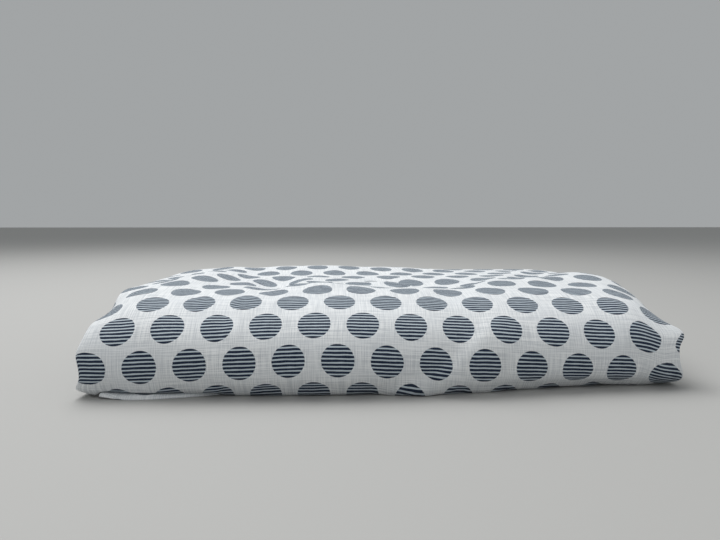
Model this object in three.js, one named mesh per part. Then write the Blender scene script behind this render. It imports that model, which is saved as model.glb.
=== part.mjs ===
// A length of printed ramie cloth, folded back and forth and lying flat.
// Millimetres, +Z up. The origin is under the middle of the bundle, on the surface it lies on.
// The bundle is long in X, its big front roll faces -Y, and its small folds are at the back, +Y.
import * as THREE from 'three';

// Driving sizes. A layer is the cloth folded in four along its length, so it is four thicknesses of
// cloth with the loose air between them, and the next layer lies one pitch further on.
const bundle = { leftEnd: -161.75, rightEnd: 160.25, frontY: -99.5, height: 51 };
const layer = { thick: 3, pitch: 4.8 };
const shoulder = { depth: 54, bellyZ: 16.3 };
const cutEdge = { length: 0.9, share: 0.45 };
const clothColour = 0xe6e9eb;

// The cloth starts as one layer flat on the surface. Then it wraps round the front five times, each wrap
// inside the one before, and turns back in a small fold behind between one wrap and the next.
// Wraps from the outermost in: radius of the lower bend at the front, and facets of its rounded stretches.
const wraps = [
  { bend: 10.0, shoulderFacets: 8, bendFacets: 4 },
  { bend: 6.5, shoulderFacets: 7, bendFacets: 4 },
  { bend: 5.5, shoulderFacets: 6, bendFacets: 3 },
  { bend: 4.0, shoulderFacets: 4, bendFacets: 4 },
  { bend: 2.1, shoulderFacets: 1, bendFacets: 4 },
];
// Middle of each small fold behind, in the order in which the cloth runs through them
const backFolds = [91.5, 95.8, 89.5, 93.0, 87.5];
const innerEndY = 76;
const facets = { backFold: 4, topLeg: 8, lowLeg: 4, acrossWidth: 18 };

// The lowest layer is drawn in at its front edge, so the right end of the bundle overhangs it, and that
// edge lies further back at the right.
const lowest = {
  frontY: -90, rightSkew: 3, skewFrom: -80, skewTo: 20,
  frontLeft: -154, frontRight: 118, backLeft: -157, backRight: 150,
};

// Ends of the layers: how far each stands from the bundle's left and right end, a row for the lowest
// layer and then one for each wrap
const endSteps = [
  { left: -1.5, right: 0.5 },
  { left: 0.0, right: 1.5 },
  { left: 1.8, right: -2.5 },
  { left: 2.6, right: -1.0 },
  { left: 1.2, right: -3.5 },
  { left: 3.4, right: -2.0 },
];

// Front roll and back folds in plan, along X: how far they lie in from a straight line
const frontLine = [
  { x: -161, inset: 5.0 },
  { x: -105, inset: 2.4 },
  { x: -50, inset: 0.0 },
  { x: 0, inset: 1.2 },
  { x: 50, inset: 3.8 },
  { x: 100, inset: 7.2 },
  { x: 161, inset: 11.0 },
];
const backLine = [
  { x: -161, inset: 2.6 },
  { x: -90, inset: 0.2 },
  { x: -20, inset: 1.6 },
  { x: 60, inset: 0.4 },
  { x: 161, inset: 3.0 },
];
const frontReach = { from: -55, to: 30 };
const backReach = { from: 40, to: 100 };

// Soft ridges and troughs of the top: middle, heading of the long axis in degrees from +X, half length,
// half width, and rise over the mean height
const creases = [
  { x: -121, y: 14, heading: 78, long: 88, wide: 26, rise: 5.4 },
  { x: -71, y: -3, heading: 88, long: 40, wide: 21, rise: -5.0 },
  { x: -72, y: -46, heading: 80, long: 26, wide: 18, rise: -1.8 },
  { x: -36, y: -36, heading: 170, long: 34, wide: 20, rise: 2.4 },
  { x: 28, y: -9, heading: 0, long: 56, wide: 38, rise: -4.1 },
  { x: 8, y: -9, heading: 160, long: 26, wide: 12, rise: 3.2 },
  { x: -4, y: 14, heading: 0, long: 24, wide: 12, rise: -2.2 },
  { x: 96, y: -18, heading: 24, long: 50, wide: 28, rise: 3.2 },
  { x: 146, y: 6, heading: 80, long: 55, wide: 36, rise: 4.4 },
  { x: -50, y: 80, heading: 0, long: 100, wide: 42, rise: 4.6 },
  { x: 40, y: -54, heading: 60, long: 30, wide: 18, rise: -1.4 },
  { x: 26, y: 84, heading: 0, long: 46, wide: 26, rise: 1.8 },
  { x: -132, y: 78, heading: 0, long: 36, wide: 32, rise: 2.2 },
];

// The two ends sink: width of the sinking stretch, how steeply it sets in, and the loss of height at
// the end face from front to back
const leftDrop = {
  width: 20, power: 2,
  along: [
    { y: -98, loss: 0.5 },
    { y: -84, loss: 4.0 },
    { y: -68, loss: 10.5 },
    { y: -56, loss: 10.5 },
    { y: -46, loss: 4.5 },
    { y: -34, loss: 1.0 },
    { y: -15, loss: 1.0 },
    { y: 96, loss: 2.0 },
  ],
};
const rightDrop = {
  width: 34, power: 2.4,
  along: [
    { y: -98, loss: 5.0 },
    { y: -88, loss: 9.0 },
    { y: -74, loss: 13.5 },
    { y: -60, loss: 12.5 },
    { y: -46, loss: 8.0 },
    { y: -30, loss: 4.0 },
    { y: 0, loss: 2.0 },
    { y: 96, loss: 3.5 },
  ],
};

// The face of the front roll is drawn in along X towards the middle, most at its right end
const drawnIn = [
  { x: -161, shift: 0.0 },
  { x: -146, shift: 0.8 },
  { x: -125, shift: 1.5 },
  { x: -80, shift: 1.0 },
  { x: -54, shift: -0.3 },
  { x: 0, shift: -1.8 },
  { x: 50, shift: -3.0 },
  { x: 100, shift: -3.3 },
  { x: 161, shift: -4.6 },
];
const drawnReach = { from: -100, to: -72 };

// Slope of one column of a table at one of its rows, from the rows beside it
function slopeAt(table, key, column, index) {
  const low = table[Math.max(index - 1, 0)];
  const high = table[Math.min(index + 1, table.length - 1)];
  return (high[column] - low[column]) / (high[key] - low[key]);
}

// Value of one column between the rows of a table, as a smooth curve that is level past both ends
function between(table, key, column, at) {
  const last = table[table.length - 1];
  if (at <= table[0][key]) return table[0][column];
  if (at >= last[key]) return last[column];
  const next = table.findIndex((row) => row[key] > at);
  const low = table[next - 1];
  const gap = table[next][key] - low[key];
  const rise = table[next][column] - low[column];
  const t = (at - low[key]) / gap;
  const startBend = slopeAt(table, key, column, next - 1) * gap - rise;
  const endBend = slopeAt(table, key, column, next) * gap - rise;
  return low[column] + t * rise + t * (1 - t) * ((1 - t) * startBend - t * endBend);
}

// Rise of the top over its mean height at one place
function creaseRise(x, y) {
  let rise = 0;
  for (const crease of creases) {
    const turn = THREE.MathUtils.degToRad(crease.heading);
    const dx = x - crease.x;
    const dy = y - crease.y;
    const along = (dx * Math.cos(turn) + dy * Math.sin(turn)) / crease.long;
    const across = (dy * Math.cos(turn) - dx * Math.sin(turn)) / crease.wide;
    const reach = along * along + across * across;
    if (reach < 1) rise += crease.rise * (1 - reach) * (1 - reach);
  }
  return rise;
}

// Loss of height at one distance in from an end of the bundle
function endLoss(drop, inset, y) {
  const share = Math.max(1 - inset / drop.width, 0);
  return between(drop.along, 'y', 'loss', y) * share ** drop.power;
}

// Bends the straight-sided stack into the bundle's uneven shape. Heights are scaled, so the underside
// stays flat and the layers stay apart. The ends sink by evenX, the place in a bundle of even ends.
function settle(x, y, z, evenX) {
  const height = bundle.height + creaseRise(x, y)
    - endLoss(leftDrop, evenX - bundle.leftEnd, y) - endLoss(rightDrop, bundle.rightEnd - evenX, y);
  const nearFront = 1 - THREE.MathUtils.smoothstep(y, frontReach.from, frontReach.to);
  const nearBack = THREE.MathUtils.smoothstep(y, backReach.from, backReach.to);
  const frontShift = between(frontLine, 'x', 'inset', x) * nearFront;
  const backShift = between(backLine, 'x', 'inset', x) * nearBack;
  const onFace = 1 - THREE.MathUtils.smoothstep(y, drawnReach.from, drawnReach.to);
  const shift = between(drawnIn, 'x', 'shift', x) * onFace;
  return [x + shift, y + frontShift - backShift, z * height / bundle.height];
}

// Height of the middle of a wrap's two legs
function lowZ(index) {
  return layer.thick / 2 + (index + 1) * layer.pitch;
}

function topZ(index) {
  return layer.thick / 2 + (2 * wraps.length - index) * layer.pitch;
}

// Front of one wrap from its top leg down to its lower leg: a quarter ellipse for the shoulder and
// belly, cut off by a round bend that runs into the lower leg
function wrapFront(index) {
  const { bend, shoulderFacets, bendFacets } = wraps[index];
  const centreY = bundle.frontY + layer.thick / 2 + shoulder.depth;
  const deep = shoulder.depth - index * layer.pitch;
  const high = topZ(index) - shoulder.bellyZ;
  const onCurve = (angle) => ({
    y: centreY - deep * Math.cos(angle),
    z: shoulder.bellyZ + high * Math.sin(angle),
  });
  const inward = (angle) => {
    const size = Math.hypot(high * Math.cos(angle), deep * Math.sin(angle));
    return { y: high * Math.cos(angle) / size, z: -deep * Math.sin(angle) / size };
  };
  // Angle where the ellipse meets the bend, found by halving
  const bendZ = lowZ(index) + bend;
  let upper = Math.PI / 2;
  let lower = -Math.PI / 16;
  while (upper - lower > 1e-9) {
    const middle = (upper + lower) / 2;
    if (onCurve(middle).z + bend * inward(middle).z > bendZ) upper = middle;
    else lower = middle;
  }
  const toBend = inward(lower);
  const bendY = onCurve(lower).y + bend * toBend.y;
  const startAngle = Math.PI + Math.atan2(toBend.z, toBend.y);
  const turn = 1.5 * Math.PI - startAngle;
  const points = [];
  for (let i = 0; i <= shoulderFacets; i += 1) {
    points.push(onCurve(THREE.MathUtils.lerp(Math.PI / 2, lower, i / shoulderFacets)));
  }
  for (let i = 1; i <= bendFacets; i += 1) {
    const angle = startAngle + turn * i / bendFacets;
    points.push({ y: bendY + bend * Math.cos(angle), z: bendZ + bend * Math.sin(angle) });
  }
  return points;
}

// Middle line of the cloth in the YZ plane, from its cut end under the front to the one inside the
// bundle. A step holds its place, the stretch of cloth it is in (0 for the lowest layer, then one for
// each wrap), and the share of the full thickness there.
function middleLine() {
  const line = [];
  const addStep = (y, z, stretch, share = 1) => line.push({ y, z, stretch, share });
  const addLeg = (toY, z, stretch, count) => {
    const fromY = line[line.length - 1].y;
    for (let i = 1; i <= count; i += 1) {
      addStep(THREE.MathUtils.lerp(fromY, toY, i / count), z, stretch);
    }
  };
  const addBackFold = (toZ, stretch) => {
    const start = line[line.length - 1];
    const radius = (toZ - start.z) / 2;
    for (let i = 1; i <= facets.backFold; i += 1) {
      const share = i / facets.backFold;
      const angle = Math.PI * (share - 0.5);
      const y = start.y + Math.abs(radius) * Math.cos(angle);
      addStep(y, start.z + radius * (1 + Math.sin(angle)), stretch + share);
    }
  };

  const groundZ = layer.thick / 2;
  addStep(lowest.frontY, groundZ, 0, cutEdge.share);
  addStep(lowest.frontY + cutEdge.length, groundZ, 0, 1);
  addLeg(backFolds[0], groundZ, 0, facets.lowLeg);
  wraps.forEach((wrap, index) => {
    const stretch = index + 1;
    const fromBelow = index % 2 === 0;
    const front = wrapFront(index);
    if (fromBelow) front.reverse();
    const [startZ, endZ] = fromBelow ? [lowZ(index), topZ(index)] : [topZ(index), lowZ(index)];
    const [startFacets, endFacets] = fromBelow
      ? [facets.lowLeg, facets.topLeg] : [facets.topLeg, facets.lowLeg];
    addBackFold(startZ, index);
    addLeg(front[0].y, startZ, stretch, startFacets);
    front.slice(1).forEach((point) => addStep(point.y, point.z, stretch));
    addLeg(backFolds[index + 1] ?? innerEndY, endZ, stretch, endFacets);
  });
  const inner = line[line.length - 1];
  addStep(inner.y + cutEdge.length, inner.z, inner.stretch, cutEdge.share);
  return line;
}

// Left and right end of the cloth at one step of the line
function endsAt(step) {
  const low = endSteps[Math.floor(step.stretch)];
  const high = endSteps[Math.ceil(step.stretch)];
  const share = step.stretch % 1;
  const left = bundle.leftEnd + THREE.MathUtils.lerp(low.left, high.left, share);
  const right = bundle.rightEnd + THREE.MathUtils.lerp(low.right, high.right, share);
  if (step.stretch >= 1) return { left, right };
  const along = Math.min((step.y - lowest.frontY) / (backFolds[0] - lowest.frontY), 1);
  const lowLeft = THREE.MathUtils.lerp(lowest.frontLeft, lowest.backLeft, along);
  const lowRight = THREE.MathUtils.lerp(lowest.frontRight, lowest.backRight, along);
  return {
    left: THREE.MathUtils.lerp(lowLeft, left, step.stretch),
    right: THREE.MathUtils.lerp(lowRight, right, step.stretch),
  };
}

// One face of the cloth at one step of the line: its places from the left end to the right. They stand
// closer together near the ends, where the bundle sinks.
function faceRow(step, offsetY, offsetZ) {
  const ends = endsAt(step);
  const low = Math.max(1 - step.stretch, 0);
  const forward = 1 - THREE.MathUtils.smoothstep(step.y, lowest.skewFrom, lowest.skewTo);
  const places = [];
  for (let i = 0; i <= facets.acrossWidth; i += 1) {
    const even = i / facets.acrossWidth;
    const share = (even + (1 - Math.cos(Math.PI * even)) / 2) / 2;
    const x = THREE.MathUtils.lerp(ends.left, ends.right, share);
    const evenX = THREE.MathUtils.lerp(bundle.leftEnd, bundle.rightEnd, share);
    const skew = lowest.rightSkew * low * share * forward;
    const sinkX = THREE.MathUtils.lerp(evenX, x, low);
    places.push(...settle(x, step.y + skew + offsetY, step.z + offsetZ, sinkX));
  }
  return places;
}

// Closed skin of the cloth: two faces along the line, two side edges and two cut ends
function clothGeometry(line) {
  const positions = line.flatMap((step, index) => {
    const before = line[Math.max(index - 1, 0)];
    const after = line[Math.min(index + 1, line.length - 1)];
    const half = layer.thick / 2 * step.share / Math.hypot(after.y - before.y, after.z - before.z);
    const offsetY = (after.z - before.z) * half;
    const offsetZ = (before.y - after.y) * half;
    return [...faceRow(step, offsetY, offsetZ), ...faceRow(step, -offsetY, -offsetZ)];
  });
  const width = facets.acrossWidth;
  const corner = (step, face, station) => (step * 2 + face) * (width + 1) + station;
  const triangles = [];
  const addQuad = (a, b, c, d) => triangles.push(a, b, c, a, c, d);
  const last = line.length - 1;
  for (let s = 0; s < last; s += 1) {
    for (let i = 0; i < width; i += 1) {
      addQuad(corner(s, 0, i), corner(s + 1, 0, i), corner(s + 1, 0, i + 1), corner(s, 0, i + 1));
      addQuad(corner(s, 1, i), corner(s, 1, i + 1), corner(s + 1, 1, i + 1), corner(s + 1, 1, i));
    }
    addQuad(corner(s, 0, 0), corner(s, 1, 0), corner(s + 1, 1, 0), corner(s + 1, 0, 0));
    addQuad(corner(s, 0, width), corner(s + 1, 0, width), corner(s + 1, 1, width), corner(s, 1, width));
  }
  for (let i = 0; i < width; i += 1) {
    addQuad(corner(0, 0, i), corner(0, 0, i + 1), corner(0, 1, i + 1), corner(0, 1, i));
    addQuad(corner(last, 0, i), corner(last, 1, i), corner(last, 1, i + 1), corner(last, 0, i + 1));
  }
  const geometry = new THREE.BufferGeometry();
  geometry.setAttribute('position', new THREE.Float32BufferAttribute(positions, 3));
  geometry.setIndex(triangles);
  geometry.computeVertexNormals();
  return geometry;
}

const cloth = new THREE.Mesh(
  clothGeometry(middleLine()),
  new THREE.MeshStandardMaterial({ color: clothColour, roughness: 0.88, metalness: 0 }),
);
cloth.name = 'folded_cloth';

const part = new THREE.Group();
part.add(cloth);
export default part;
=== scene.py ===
import math

import bpy
import numpy as np
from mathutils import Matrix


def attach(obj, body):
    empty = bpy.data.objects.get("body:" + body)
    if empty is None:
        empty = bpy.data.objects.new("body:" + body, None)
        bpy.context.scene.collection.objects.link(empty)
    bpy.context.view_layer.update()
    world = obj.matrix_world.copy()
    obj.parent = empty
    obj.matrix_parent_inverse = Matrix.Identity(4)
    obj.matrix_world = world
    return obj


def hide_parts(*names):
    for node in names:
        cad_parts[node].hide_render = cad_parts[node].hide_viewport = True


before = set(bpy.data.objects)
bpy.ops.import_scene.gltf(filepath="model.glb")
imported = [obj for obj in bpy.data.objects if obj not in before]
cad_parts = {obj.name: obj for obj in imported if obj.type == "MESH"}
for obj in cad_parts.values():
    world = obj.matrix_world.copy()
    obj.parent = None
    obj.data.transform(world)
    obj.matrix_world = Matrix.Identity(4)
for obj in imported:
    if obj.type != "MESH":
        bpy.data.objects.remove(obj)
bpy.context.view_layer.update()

# The run of the cloth
#
# One length of printed ramie, folded in four along its length and then folded back and forth. It
# starts in the lowest layer, wraps round the front five times, each wrap inside the one before, and
# turns back in a small fold behind between one wrap and the next. All sizes are in metres.

# A layer is the four thicknesses with the loose air between them
layer_thick = 0.003
layer_pitch = 0.0048
front_y = -0.0995
shoulder_depth = 0.054
belly_z = 0.0163
front_bends = (0.010, 0.0065, 0.0055, 0.004, 0.0021)
back_fold_ys = (0.0915, 0.0958, 0.0895, 0.093, 0.0875, 0.076)
lowest_front_y = -0.090
wrap_count = len(front_bends)

# The middle line of the folded length, seen from the side. A step of it is its y, its z and the stretch
# that it is in, 0 for the lowest layer and then one for each wrap. The cut end of the lowest layer is
# turned down to the surface, in a quarter of a circle.
line = []
half_layer = layer_thick / 2
for angle in np.linspace(-math.pi / 2, 0, 7)[:-1]:
    turned_y = math.sin(angle) * half_layer
    line.append((lowest_front_y + layer_thick + turned_y, math.cos(angle) * half_layer, 0.0))
for y in np.linspace(lowest_front_y + layer_thick, back_fold_ys[0], 15):
    line.append((y, half_layer, 0.0))

for wrap in range(wrap_count):
    from_below = wrap % 2 == 0
    low_z = half_layer + (wrap + 1) * layer_pitch
    top_z = half_layer + (2 * wrap_count - wrap) * layer_pitch
    start_z, end_z = (low_z, top_z) if from_below else (top_z, low_z)
    stretch = wrap + 1
    front_steps, bend_steps = (28, 9) if wrap == 0 else (11, 6)

    # Small fold behind, up or down to this wrap
    fold_y, fold_z = line[-1][:2]
    fold_radius = (start_z - fold_z) / 2
    for share in np.linspace(0, 1, 7)[1:]:
        angle = math.pi * (share - 0.5)
        line.append((
            fold_y + abs(fold_radius) * math.cos(angle),
            fold_z + fold_radius * (1 + math.sin(angle)),
            wrap + share,
        ))

    # Front: a quarter ellipse for shoulder and belly, and a round bend into the lower leg from where
    # the two have the same direction
    bend = front_bends[wrap]
    centre_y = front_y + half_layer + shoulder_depth
    deep = shoulder_depth - wrap * layer_pitch
    high = top_z - belly_z
    bend_z = low_z + bend
    upper, lower = math.pi / 2, -math.pi / 16
    while upper - lower > 1e-9:
        middle = (upper + lower) / 2
        size = math.hypot(high * math.cos(middle), deep * math.sin(middle))
        if belly_z + high * math.sin(middle) - bend * deep * math.sin(middle) / size > bend_z:
            upper = middle
        else:
            lower = middle
    size = math.hypot(high * math.cos(lower), deep * math.sin(lower))
    inward_y, inward_z = high * math.cos(lower) / size, -deep * math.sin(lower) / size
    bend_y = centre_y - deep * math.cos(lower) + bend * inward_y
    bend_start = math.pi + math.atan2(inward_z, inward_y)
    angles = np.linspace(math.pi / 2, lower, 400)
    ellipse = np.stack([centre_y - deep * np.cos(angles), belly_z + high * np.sin(angles)], 1)
    run = np.concatenate([[0], np.cumsum(np.hypot(*np.diff(ellipse, axis=0).T))])
    even = np.linspace(0, run[-1], front_steps)
    front = list(zip(np.interp(even, run, ellipse[:, 0]), np.interp(even, run, ellipse[:, 1])))
    for angle in np.linspace(bend_start, 1.5 * math.pi, bend_steps)[1:]:
        front.append((bend_y + bend * math.cos(angle), bend_z + bend * math.sin(angle)))
    if from_below:
        front.reverse()

    # The legs on either side of the front, in closer steps towards it, and closest on the visible top.
    # From a few steps before the front of the outer wrap to the end of its top leg the cloth shows.
    first_leg_steps, second_leg_steps = (16, 44) if wrap == 0 else (11, 12)
    to_front = 1 - np.linspace(1, 0, first_leg_steps)[1:-1] ** 2
    for y in line[-1][0] + (front[0][0] - line[-1][0]) * to_front:
        line.append((y, start_z, stretch))
    if wrap == 0:
        shown_from = len(line) - 4
    line.extend((y, z, stretch) for y, z in front)
    for y in np.linspace(front[-1][0], back_fold_ys[wrap + 1], second_leg_steps)[1:]:
        line.append((y, end_z, stretch))
    if wrap == 0:
        shown_to = len(line) - 1

run_y, run_z, run_stretch = np.array(line).T
step_count = len(line)
step_lengths = np.hypot(np.diff(run_y), np.diff(run_z))
run_length = np.concatenate([[0], np.cumsum(step_lengths)])
heading = np.stack([np.diff(run_y), np.diff(run_z)], 1) / step_lengths[:, None]
heading = np.concatenate([[(0, 1)], heading[:-1] + heading[1:], heading[-1:]])
heading /= np.hypot(heading[:, 0], heading[:, 1])[:, None]

# The four thicknesses
#
# Folded in half twice, the cloth shows one outer sheet and has three inside it. Its two cut edges lie
# loose at the right end, and the folds between its thicknesses are at the left, right and left.

# Round the section, from one loose edge to the other: innermost sheet, big fold at the left, outer
# sheet, fold at the right, sheet, small fold inside at the left, sheet. A column of the mesh is its
# share of the bundle's width, its shift from there, and its place through the layer, which is below
# zero on the outer side.

sheet_gap = 0.00087
big_radius = sheet_gap * 1.5
small_radius = sheet_gap / 2
small_fold_in = 0.0034


def closer_at_ends(count):
    even = np.linspace(0, 1, count + 1)
    return even * 0.7 + (1 - np.cos(math.pi * even)) * 0.15


inner_count, outer_count = 30, 96
half_turn = np.linspace(0, math.pi, 6)[1:-1]
columns = [(share, big_radius * (1 - share), big_radius) for share in closer_at_ends(inner_count)[::-1]]
for angle in half_turn:
    columns.append((0, big_radius * (1 - math.sin(angle)), big_radius * math.cos(angle)))
outer_first = len(columns)
for share in closer_at_ends(outer_count):
    columns.append((share, big_radius * (1 - share) - small_radius * share, -big_radius))
outer_last = len(columns) - 1
for angle in half_turn:
    through = -big_radius + small_radius * (1 - math.cos(angle))
    columns.append((1, -small_radius * (1 - math.sin(angle)), through))
for share in closer_at_ends(inner_count)[::-1]:
    columns.append((share, small_fold_in * (1 - share) - small_radius * share, -small_radius))
for angle in half_turn:
    columns.append((0, small_fold_in - small_radius * math.sin(angle), -small_radius * math.cos(angle)))
for share in closer_at_ends(inner_count):
    columns.append((share, small_fold_in * (1 - share), small_radius))
share_across, shift_across, place_across = np.array(columns).T
column_count = len(columns)

# Left and right end of each step. The lowest layer is narrower, most of all at its front edge, and
# wider by so much at its back fold. The loose edges lie unevenly, a few millimetres in from the folds.
bundle_left, bundle_right = -0.16175, 0.16025
left_steps = (-0.0015, 0.0, 0.0018, 0.0026, 0.0012, 0.0034)
right_steps = (0.0005, 0.0015, -0.0025, -0.001, -0.0035, -0.002)
lowest_left, left_wider = -0.154, 0.003
lowest_right, right_wider = 0.118, 0.032
end_left = bundle_left + np.interp(run_stretch, range(6), left_steps)
end_right = bundle_right + np.interp(run_stretch, range(6), right_steps)
in_lowest = np.clip(1 - run_stretch, 0, 1)
along_lowest = np.clip((run_y - lowest_front_y) / (back_fold_ys[0] - lowest_front_y), 0, 1)
end_left += (lowest_left - left_wider * along_lowest - end_left) * in_lowest
end_right += (lowest_right + right_wider * along_lowest - end_right) * in_lowest
x = end_left[:, None] + (end_right - end_left)[:, None] * share_across + shift_across

edge_pull = np.linspace(0, 1, inner_count + 1) ** 6
first_edge = 0.0022 + 0.0011 * np.sin(run_length / 0.047) + 0.0006 * np.sin(run_length / 0.0183 + 1.3)
second_edge = 0.0034 + 0.0013 * np.sin(run_length / 0.061 + 2.0) + 0.0005 * np.sin(run_length / 0.021)
x[:, :inner_count + 1] -= first_edge[:, None] * edge_pull[::-1]
x[:, -inner_count - 1:] -= second_edge[:, None] * edge_pull


def smooth(at, low, high):
    t = np.clip((at - low) / (high - low), 0, 1)
    return t * t * (3 - 2 * t)


y = run_y[:, None] + heading[:, 1:] * place_across
z = run_z[:, None] - heading[:, :1] * place_across

# How the bundle has settled
#
# The soft stack isn't even: its top has ridges and troughs, its ends sink, and its front and back bow
# in plan. Heights are scaled, so the underside stays flat and no layer cuts into the next.


def between(table, at):
    keys, values = np.array(table).T
    last = len(keys) - 1
    low_row = np.maximum(np.arange(last + 1) - 1, 0)
    high_row = np.minimum(np.arange(last + 1) + 1, last)
    slopes = (values[high_row] - values[low_row]) / (keys[high_row] - keys[low_row])
    at = np.clip(at, keys[0], keys[-1])
    row = np.clip(np.searchsorted(keys, at, side="right") - 1, 0, last - 1)
    gap = keys[row + 1] - keys[row]
    rise = values[row + 1] - values[row]
    t = (at - keys[row]) / gap
    ends = (1 - t) * (slopes[row] * gap - rise) - t * (slopes[row + 1] * gap - rise)
    return values[row] + t * rise + t * (1 - t) * ends


# Ridges and troughs in millimetres: middle x and y, heading in degrees, half length, half width, rise
top_height = 0.051
height = np.full_like(x, top_height)
for crease in (
    (-121, 14, 78, 88, 26, 5.4),
    (-71, -3, 88, 40, 21, -5.0),
    (-72, -46, 80, 26, 18, -1.8),
    (-36, -36, 170, 34, 20, 2.4),
    (28, -9, 0, 56, 38, -4.1),
    (8, -9, 160, 26, 12, 3.2),
    (-4, 14, 0, 24, 12, -2.2),
    (96, -18, 24, 50, 28, 3.2),
    (146, 6, 80, 55, 36, 4.4),
    (-50, 80, 0, 100, 42, 4.6),
    (40, -54, 60, 30, 18, -1.4),
    (26, 84, 0, 46, 26, 1.8),
    (-132, 78, 0, 36, 32, 2.2),
):
    turn = math.radians(crease[2])
    dx, dy = x * 1000 - crease[0], y * 1000 - crease[1]
    along = (dx * math.cos(turn) + dy * math.sin(turn)) / crease[3]
    across = (dy * math.cos(turn) - dx * math.sin(turn)) / crease[4]
    height += crease[5] / 1000 * np.clip(1 - along ** 2 - across ** 2, 0, None) ** 2

# Loss of height at the left and at the right end: y and millimetres, from front to back, and how far
# in from the end it reaches
left_loss = (
    (-98, 0.5), (-84, 4.0), (-68, 10.0), (-56, 9.0), (-46, 3.2), (-34, 0.6), (-15, 1.0), (96, 2.0),
)
right_loss = (
    (-98, 5.0), (-88, 9.0), (-74, 13.5), (-60, 12.5), (-46, 8.0), (-30, 4.0), (0, 2.0), (96, 3.5),
)
left_reach, right_reach = 0.020, 0.034
share_here = (x - end_left[:, None]) / (end_right - end_left)[:, None]
even_x = bundle_left + (bundle_right - bundle_left) * share_here
even_x += (x - even_x) * in_lowest[:, None]
near_left = np.clip(1 - (even_x - bundle_left) / left_reach, 0, 1)
near_right = np.clip(1 - (bundle_right - even_x) / right_reach, 0, 1)
height -= between(left_loss, y * 1000) / 1000 * near_left ** 2
height -= between(right_loss, y * 1000) / 1000 * near_right ** 2.4

# Front and back in plan: x and millimetres in from a straight line. The face of the front roll is also
# pulled a little to the left or right.
front_line = ((-161, 5.0), (-105, 2.4), (-50, 0.0), (0, 1.2), (50, 3.8), (100, 7.2), (161, 11.0))
back_line = ((-161, 2.6), (-90, 0.2), (-20, 1.6), (60, 0.4), (161, 3.0))
pulled_along = (
    (-161, -1.4), (-146, -0.6), (-125, 0.4), (-80, 0.5), (-54, -0.6), (0, -1.6), (50, -2.2),
    (100, -1.9), (161, -3.6),
)
rest_x = x.copy()
rest_y = y.copy()
x += between(pulled_along, rest_x * 1000) / 1000 * (1 - smooth(rest_y, -0.100, -0.072))
z *= height / top_height
bow = between(front_line, rest_x * 1000) / 1000 * (1 - smooth(rest_y, -0.055, 0.030))
bow -= between(back_line, rest_x * 1000) / 1000 * smooth(rest_y, 0.040, 0.100)
y += bow

# Below its shoulder the roll leans back and hangs a little. The front edge of the lowest layer shows
# only at the left, and farther right it lies back, under the roll: x and y of the edge.
roll_lean, roll_sag = 0.0030, 0.0014
lowest_edge = (
    (-160, -88.0), (-145, -90.5), (-135, -91.8), (-122, -90.4), (-105, -87.2), (-90, -83.5),
    (-75, -79.0), (20, -77.0), (100, -70.0), (160, -65.0),
)
in_wraps = 1 - in_lowest[:, None]
y += roll_lean * (1 - smooth(z, 0.008, 0.048)) * (1 - smooth(rest_y, -0.085, -0.030)) * in_wraps
z -= roll_sag * (1 - smooth(z, 0.012, 0.044)) * (1 - smooth(rest_y, -0.092, -0.078)) * in_wraps
edge_y = between(lowest_edge, rest_x * 1000) / 1000
edge_shift = edge_y - lowest_front_y - bow
y += edge_shift * (1 - smooth(rest_y, -0.086, -0.020)) * in_lowest[:, None]

# Both overhanging ends of the roll sag below this height
right_sag, left_sag, sagging_below = 0.0016, 0.0024, 0.026
at_right = smooth(rest_x, 0.110, 0.150) * (1 - smooth(y, -0.060, -0.020)) * in_wraps
at_left = smooth(-rest_x, 0.149, 0.160) * (1 - smooth(y, -0.080, -0.050)) * in_wraps
z -= (right_sag * at_right + left_sag * at_left) * np.clip(1 - z / sagging_below, 0, 1)


# The end faces of the roll stand out in two places each, given by how far, at what height, and half of
# how high the place is
def stand_out(*places_on_face):
    return sum(far * np.exp(-((z - at_z) / half_high) ** 2) for far, at_z, half_high in places_on_face)


right_out = stand_out((0.0056, 0.0295, 0.0045), (0.0036, 0.0060, 0.0060))
left_out = stand_out((0.0018, 0.0240, 0.0050), (0.0036, 0.0050, 0.0040))
out_by = right_out * smooth(rest_x, 0.143, 0.161) - left_out * smooth(-rest_x, 0.150, 0.161)
x += out_by * (1 - smooth(y, -0.075, -0.060)) * in_wraps

# The front left corner of the lowest layer curls up. The roll presses the front of that layer down to
# two thirds and rests on it, and elsewhere it stays just over the surface.
curled_up = 0.0021 * smooth(-x, 0.141, 0.157) * smooth(-y, 0.074, 0.091)
z += curled_up * in_lowest[:, None]
pressed_share = 0.65
pressed_top, over_surface = 0.0021, 0.0003
z *= 1 - (1 - pressed_share) * smooth(-y, 0.070, 0.080) * in_lowest[:, None]
over_lowest = smooth(y - edge_y, -0.0010, 0.0015) * smooth(x, -0.159, -0.156)
least_z = over_surface + (pressed_top + pressed_share * curled_up) * over_lowest

# Places on the cloth
#
# The cloth was printed flat before it was folded, so each place on it needs its flat coordinates: u
# across the bundle from its middle, and v along the run from the top of the outer wrap, near its
# front. They run on from sheet to sheet, so the print does too.
row_pitch = 0.020
row_on_top_y = -0.0493
widths = np.sqrt(np.diff(rest_x, axis=1) ** 2 + np.diff(y, axis=1) ** 2 + np.diff(z, axis=1) ** 2)
u = np.concatenate([np.zeros((step_count, 1)), np.cumsum(widths, axis=1)], axis=1)
middle_column = outer_first + int(np.argmin(np.abs(rest_x[shown_to, outer_first:outer_last])))
u += rest_x[:, [middle_column]] - u[:, [middle_column]]
lengths = np.sqrt(np.diff(x, axis=0) ** 2 + np.diff(y, axis=0) ** 2 + np.diff(z, axis=0) ** 2)
v = np.concatenate([np.zeros((1, column_count)), np.cumsum(lengths, axis=0)])
on_top = np.flatnonzero((run_stretch == 1) & (run_z > 0.045))
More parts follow.
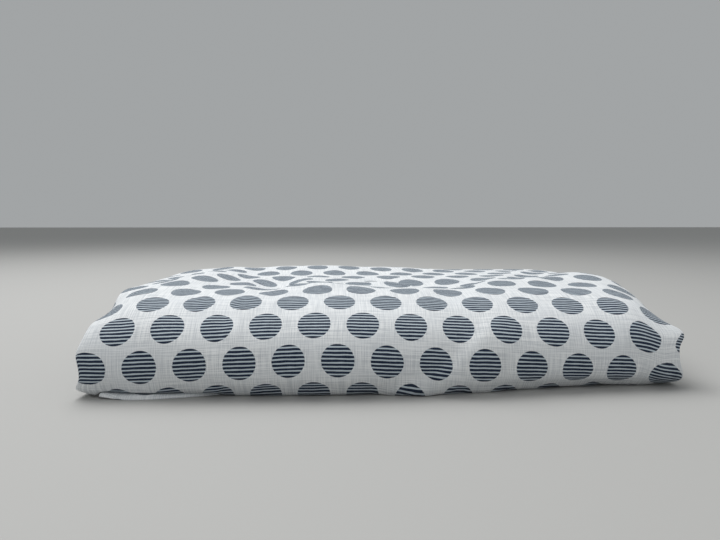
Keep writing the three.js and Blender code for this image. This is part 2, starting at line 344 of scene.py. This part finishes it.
for column in range(column_count):
    v[:, column] -= np.interp(row_on_top_y, y[on_top, column], v[on_top, column])

# The cut end lies just past a row of dots
cut_from_row = 0.0085
cut_v = np.round(v[0, middle_column] / row_pitch - 0.5) * row_pitch + cut_from_row
v += (cut_v - v[0]) * (1 - smooth(run_length, 0.02, 0.30))[:, None]

# The weave is pulled out of line by up to a few millimetres: below the diagonal fold of the front, at
# the right end and the left end, farther back, where the rows run askew, and a little at both sides
low_on_roll = smooth(-v, 0.044, 0.062)
near_fold = np.exp(-((u - 0.034) / 0.024) ** 2)
v += 0.0006 * smooth(u, -0.020, 0.010) - 0.0016 * smooth(-v, 0.054, 0.072) * near_fold
high_at_right = smooth(-v, 0.010, 0.030) * (1 - low_on_roll)
v += (0.0016 * low_on_roll - 0.0040 * high_at_right) * smooth(u, 0.148, 0.165)
v -= 0.0046 * smooth(-u, 0.142, 0.168) * smooth(-v, 0.020, 0.040)
askew = 1 - 0.4 * smooth(-u, 0.02, 0.09) + 0.2 * smooth(u, 0.02, 0.09)
u += 0.058 * np.clip(y + 0.008, 0, 0.080) * askew
u -= 0.0012 * smooth(-u, 0.080, 0.150) + 0.0008 * smooth(-u, 0.142, 0.152) * low_on_roll
u -= 0.0008 * smooth(u, 0.070, 0.130) * (1 - low_on_roll)

# Small folds of the outer sheet
#
# Soft ridges that the outer sheet of the cloth alone has, where it hangs away from the sheets inside
# it, over a faint unevenness of the whole sheet.

grid_size = 48


def unevenness(cell, seed):
    grid = np.random.default_rng(seed).uniform(-1, 1, (grid_size, grid_size))
    a, b = u / cell + 10 * grid_size, v / cell + 10 * grid_size
    column, row = np.floor(a).astype(int), np.floor(b).astype(int)
    s, t = a - column, b - row
    s, t = s * s * (3 - 2 * s), t * t * (3 - 2 * t)
    column, row = column % grid_size, row % grid_size
    next_column, next_row = (column + 1) % grid_size, (row + 1) % grid_size
    near = grid[column, row] + (grid[next_column, row] - grid[column, row]) * s
    far = grid[column, next_row] + (grid[next_column, next_row] - grid[column, next_row]) * s
    return near * (1 - t) + far * t


# In millimetres, as are the folds: rise, width to the right and to the left of the path, and the path,
# in places on the cloth. The first five hang at the roll's lower edge.
swell = 0.45 + 0.42 * unevenness(0.019, 3) + 0.20 * unevenness(0.0085, 4)
for rise, right_width, left_width, path in (
    (6.8, 19, 14, ((-85, -88), (-60, -89), (10, -88), (30, -86))),
    (7.0, 18, 13, ((46, -84), (80, -83), (108, -82))),
    (4.2, 13, 11, ((120, -80), (162, -76))),
    (4.4, 16, 15, ((2, -85), (18, -84))),
    (2.2, 10, 10, ((-162, -77), (-130, -77), (-96, -79))),
    (0.8, 10, 12, ((-78, -10), (-66, 2), (-59, 14), (-56, 30), (-50, 52), (-43, 72))),
    (0.5, 10, 12, ((-50, 18), (-40, 14), (-27, 6), (-7, -4), (3, -11))),
    (1.0, 12, 11, ((62, 24), (72, 38), (86, 60), (104, 88), (128, 120))),
    (2.4, 7, 38, ((50, -46), (44, -53), (34, -64), (26, -69), (14, -75))),
    (1.0, 14, 16, ((-143, -6), (-136, -22), (-124, -36), (-112, -52))),
    (0.8, 8, 9, ((-104, -14), (-99, -26), (-97, -40))),
    (0.7, 7, 10, ((-84, -16), (-82, -30), (-86, -44))),
    (0.9, 12, 14, ((118, -8), (128, -26), (140, -40), (150, -56))),
):
    nearest = np.full_like(u, 1e9)
    side = np.zeros_like(u)
    for (u0, v0), (u1, v1) in zip(path, path[1:]):
        du, dv = u1 - u0, v1 - v0
        t = np.clip(((u * 1000 - u0) * du + (v * 1000 - v0) * dv) / (du * du + dv * dv), 0, 1)
        from_u, from_v = u * 1000 - u0 - t * du, v * 1000 - v0 - t * dv
        distance = np.hypot(from_u, from_v)
        closer = distance < nearest
        to_left = (du * from_v - dv * from_u) / np.hypot(du, dv) / (distance + 1e-9)
        side = np.where(closer, to_left, side)
        nearest = np.where(closer, distance, nearest)
    reach = nearest / (right_width + (left_width - right_width) * (1 + side) / 2)
    swell += rise * np.clip(1 - reach ** 2, 0, None) ** 2

# The swell goes outwards from the sheet and fades where it stops showing
outer = slice(outer_first, outer_last + 1)
surface = np.stack([x, y, z], -1)[:, outer]
outward = np.cross(np.gradient(surface, axis=1), np.gradient(surface, axis=0))
outward /= np.linalg.norm(outward, axis=2)[:, :, None]
in_from_end = np.minimum(share_across[outer], 1 - share_across[outer])
steps = np.arange(step_count)
shown = smooth(steps, shown_from, shown_from + 4) * (1 - smooth(steps, shown_to - 6, shown_to))
swell = swell[:, outer] / 1000 * shown[:, None] * smooth(in_from_end, 0.0, 0.02)
surface += outward * swell[:, :, None]
rests = np.maximum(surface[:, :, 2], least_z[:, outer])
surface[:, :, 2] = np.where(shown[:, None] > 0, rests, surface[:, :, 2])
x[:, outer], y[:, outer], z[:, outer] = np.moveaxis(surface, 2, 0)

# The cloth itself
#
# One thin sheet of plain-woven ramie, 0.35 mm thick, through all those places. It is cut and printed,
# with nothing sewn on, and the outer sheet has half as many faces across where it can't be seen.
cloth_thick = 0.00035
corner = np.arange(step_count * column_count).reshape(step_count, column_count)
is_shown = (steps >= shown_from) & (steps <= shown_to)
between_coarse = range(outer_first + 1, outer_last, 2)
coarse = [column for column in range(column_count) if column not in between_coarse]
faces = []
for step in range(step_count - 1):
    here, after = corner[step], corner[step + 1]
    for a, b in zip(coarse, coarse[1:]):
        if b - a == 1 or not (is_shown[step] or is_shown[step + 1]):
            faces.append((here[a], here[b], after[b], after[a]))
        elif is_shown[step] and is_shown[step + 1]:
            faces.append((here[a], here[a + 1], after[a + 1], after[a]))
            faces.append((here[a + 1], here[b], after[b], after[a + 1]))
        elif is_shown[step]:
            faces.append((here[a], here[a + 1], here[b], after[b], after[a]))
        else:
            faces.append((here[a], here[b], after[b], after[a + 1], after[a]))
kept = np.unique(np.concatenate(faces))
renumbered = np.zeros(step_count * column_count, int)
renumbered[kept] = np.arange(len(kept))
points = np.stack([x, y, z], -1).reshape(-1, 3)[kept]
cloth_mesh = bpy.data.meshes.new("ramie_fabric")
cloth_mesh.from_pydata(points.tolist(), [], [renumbered[list(face)].tolist() for face in faces])
cloth_mesh.shade_smooth()
print_map = cloth_mesh.uv_layers.new(name="print")
loop_corners = np.concatenate([renumbered[list(face)] for face in faces])
places = np.stack([u.ravel(), v.ravel()], 1)[kept][loop_corners]
print_map.data.foreach_set("uv", places.astype(np.float32).ravel())
cloth = bpy.data.objects.new("ramie_fabric", cloth_mesh)
bpy.context.scene.collection.objects.link(cloth)
thickness = cloth.modifiers.new("thickness", "SOLIDIFY")
thickness.thickness = cloth_thick
thickness.offset = 0
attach(cloth, "root")
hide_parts("folded_cloth")

# Printed ramie
#
# Plain weave in cool white, printed with round dots of thin navy stripes, staggered row by row. Print
# and weave are drawn from the places on the cloth, so they follow every fold.
material = bpy.data.materials.new("printed_ramie")
material.use_nodes = True
nodes, links = material.node_tree.nodes, material.node_tree.links
shader = nodes["Principled BSDF"]
place = nodes.new("ShaderNodeUVMap")
place.uv_map = "print"
split = nodes.new("ShaderNodeSeparateXYZ")
links.new(place.outputs["UV"], split.inputs[0])


def join(socket, value):
    if hasattr(value, "is_output"):
        links.new(value, socket)
    else:
        socket.default_value = value


def calc(operation, *values):
    node = nodes.new("ShaderNodeMath")
    node.operation = operation
    for socket, value in zip(node.inputs, values):
        join(socket, value)
    return node.outputs[0]


def ramp(value, low, high, to_low=0.0, to_high=1.0):
    node = nodes.new("ShaderNodeMapRange")
    node.interpolation_type = "SMOOTHSTEP"
    node.inputs["From Min"].default_value = low
    node.inputs["From Max"].default_value = high
    node.inputs["To Min"].default_value = to_low
    node.inputs["To Max"].default_value = to_high
    links.new(value, node.inputs["Value"])
    return node.outputs["Result"]


def blend(factor, first, second):
    node = nodes.new("ShaderNodeMix")
    node.data_type = "RGBA"
    for socket, value in zip((node.inputs[0], node.inputs[6], node.inputs[7]), (factor, first, second)):
        join(socket, value)
    return node.outputs[2]


def grain(across, along, detail):
    scale = nodes.new("ShaderNodeVectorMath")
    scale.operation = "MULTIPLY"
    scale.inputs[1].default_value = (across, along, 1)
    links.new(place.outputs["UV"], scale.inputs[0])
    noise = nodes.new("ShaderNodeTexNoise")
    noise.noise_dimensions = "2D"
    noise.inputs["Scale"].default_value = 1
    noise.inputs["Detail"].default_value = detail
    links.new(scale.outputs[0], noise.inputs["Vector"])
    return noise.outputs[0]


# Edges of the print waver by a tenth of a millimetre or two, as ink does on an open weave
print_u = calc("ADD", split.outputs["X"], calc("MULTIPLY_ADD", grain(420, 1500, 1), 0.0006, -0.0003))
print_v = calc("ADD", split.outputs["Y"], calc("MULTIPLY_ADD", grain(150, 420, 1), 0.0004, -0.0002))

# Staggered dots, 17.6 mm wide and 17 mm high, each row half a dot's pitch along from the last. In the
# row at the start of v, the middle of a gap between two dots is at gap_u.
dot_pitch, gap_u = 0.026, -0.1588
dot_flatness = 1.03
ink_radius, clear_radius = 0.00868, 0.00886
row_place = calc("MULTIPLY_ADD", print_v, 1 / row_pitch, 0.5)
from_row = calc("MULTIPLY", calc("SUBTRACT", calc("FRACT", row_place), 0.5), row_pitch)
from_first = calc("MULTIPLY_ADD", calc("FLOOR", row_place), -dot_pitch / 2, print_u)
dot_place = calc("FRACT", calc("MULTIPLY_ADD", from_first, 1 / dot_pitch, -gap_u / dot_pitch))
from_dot = calc("MULTIPLY", calc("SUBTRACT", dot_place, 0.5), dot_pitch)
up_square = calc("POWER", calc("MULTIPLY", from_row, dot_flatness), 2.0)
from_centre = calc("SQRT", calc("ADD", up_square, calc("POWER", from_dot, 2.0)))
in_dot = ramp(from_centre, ink_radius, clear_radius, 1, 0)

# Nine stripes in each dot, a dark one through its middle
stripe_pitch = 0.00198
stripe_place = calc("FRACT", calc("MULTIPLY_ADD", from_row, 1 / stripe_pitch, 0.5))
in_stripe = ramp(calc("ABSOLUTE", calc("SUBTRACT", stripe_place, 0.5)), 0.288, 0.333, 1, 0)
ink = calc("MULTIPLY", in_dot, in_stripe)

# Threads a little over a quarter of a millimetre apart, two to a wave, with slubs in both directions
wave_u, wave_v = 0.00052, 0.00055
slubs = calc("ADD", grain(48, 2100, 2), grain(2100, 60, 2))
thread_u = calc("SINE", calc("MULTIPLY", split.outputs["X"], 2 * math.pi / wave_u))
thread_v = calc("SINE", calc("MULTIPLY", split.outputs["Y"], 2 * math.pi / wave_v))
weave = calc("MULTIPLY", thread_u, thread_v)
cloudy = grain(26, 31, 3)

# White cloth, greyer in its thin places, bluish between the stripes of a dot, and navy under the ink
white = blend(ramp(slubs, 0.74, 1.26), (0.60, 0.625, 0.65, 1), (0.87, 0.885, 0.89, 1))
white = blend(ramp(weave, -1, 1, 0, 0.10), white, (0.55, 0.58, 0.60, 1))
white = blend(ramp(cloudy, 0.35, 0.75, 0, 0.35), white, (0.70, 0.73, 0.76, 1))
tinted = blend(calc("MULTIPLY", in_dot, 0.85), white, (0.50, 0.58, 0.64, 1))
inked = blend(ramp(slubs, 0.75, 1.25), (0.010, 0.019, 0.042, 1), (0.022, 0.034, 0.062, 1))
links.new(blend(ink, tinted, inked), shader.inputs["Base Color"])
links.new(ramp(slubs, 0.7, 1.3, 0.95, 0.82), shader.inputs["Roughness"])
shader.inputs["Sheen Weight"].default_value = 0.10
shader.inputs["Sheen Roughness"].default_value = 0.45
shader.inputs["Specular IOR Level"].default_value = 0.25
bump = nodes.new("ShaderNodeBump")
bump.inputs["Strength"].default_value = 0.5
bump.inputs["Distance"].default_value = 0.0002
links.new(calc("MULTIPLY_ADD", weave, 0.25, slubs), bump.inputs["Height"])
links.new(bump.outputs["Normal"], shader.inputs["Normal"])
cloth_mesh.materials.append(material)

# Floor, light and camera
#
# A plain pale floor, two soft lights, a large one overhead and a weak one in front, under an even pale
# sky, and the camera at the photograph's angle.
half_side = 9
floor_corners = [(half_side * a, half_side * b, 0) for a, b in ((-1, -1), (1, -1), (1, 1), (-1, 1))]
floor_mesh = bpy.data.meshes.new("floor")
floor_mesh.from_pydata(floor_corners, [], [(0, 1, 2, 3)])
floor = bpy.data.objects.new("floor", floor_mesh)
bpy.context.scene.collection.objects.link(floor)
floor_material = bpy.data.materials.new("pale_floor")
floor_material.use_nodes = True
floor_shader = floor_material.node_tree.nodes["Principled BSDF"]
floor_shader.inputs["Base Color"].default_value = (0.43, 0.427, 0.415, 1)
floor_shader.inputs["Roughness"].default_value = 0.75
floor_mesh.materials.append(floor_material)

for name, size, power, place_at in (
    ("overhead", 1.2, 20.0, (-0.40, 0.35, 1.35)),
    ("front_fill", 1.0, 3.8, (-0.1, -1.2, 1.5)),
):
    light_data = bpy.data.lights.new(name, "AREA")
    light_data.size = size
    light_data.energy = power
    light = bpy.data.objects.new(name, light_data)
    bpy.context.scene.collection.objects.link(light)
    light.location = place_at
    away = np.array(place_at) / np.linalg.norm(place_at)
    light.rotation_euler = (math.acos(away[2]), 0, math.atan2(away[0], -away[1]))

world = bpy.data.worlds.new("studio")
world.use_nodes = True
world.node_tree.nodes["Background"].inputs["Color"].default_value = (0.95, 0.985, 1.0, 1)
world.node_tree.nodes["Background"].inputs["Strength"].default_value = 0.38
bpy.context.scene.world = world

camera_data = bpy.data.cameras.new("camera")
camera_data.lens = 27.05
camera_data.sensor_width = 36
camera = bpy.data.objects.new("camera", camera_data)
bpy.context.scene.collection.objects.link(camera)
camera.location = (-0.0304, -0.3696, 0.092)
tilted_down, turned_right = 5.07, 2.5
camera.rotation_euler = (math.radians(90 - tilted_down), 0, math.radians(-turned_right))
bpy.context.scene.camera = camera
bpy.context.scene.view_settings.view_transform = "Standard"
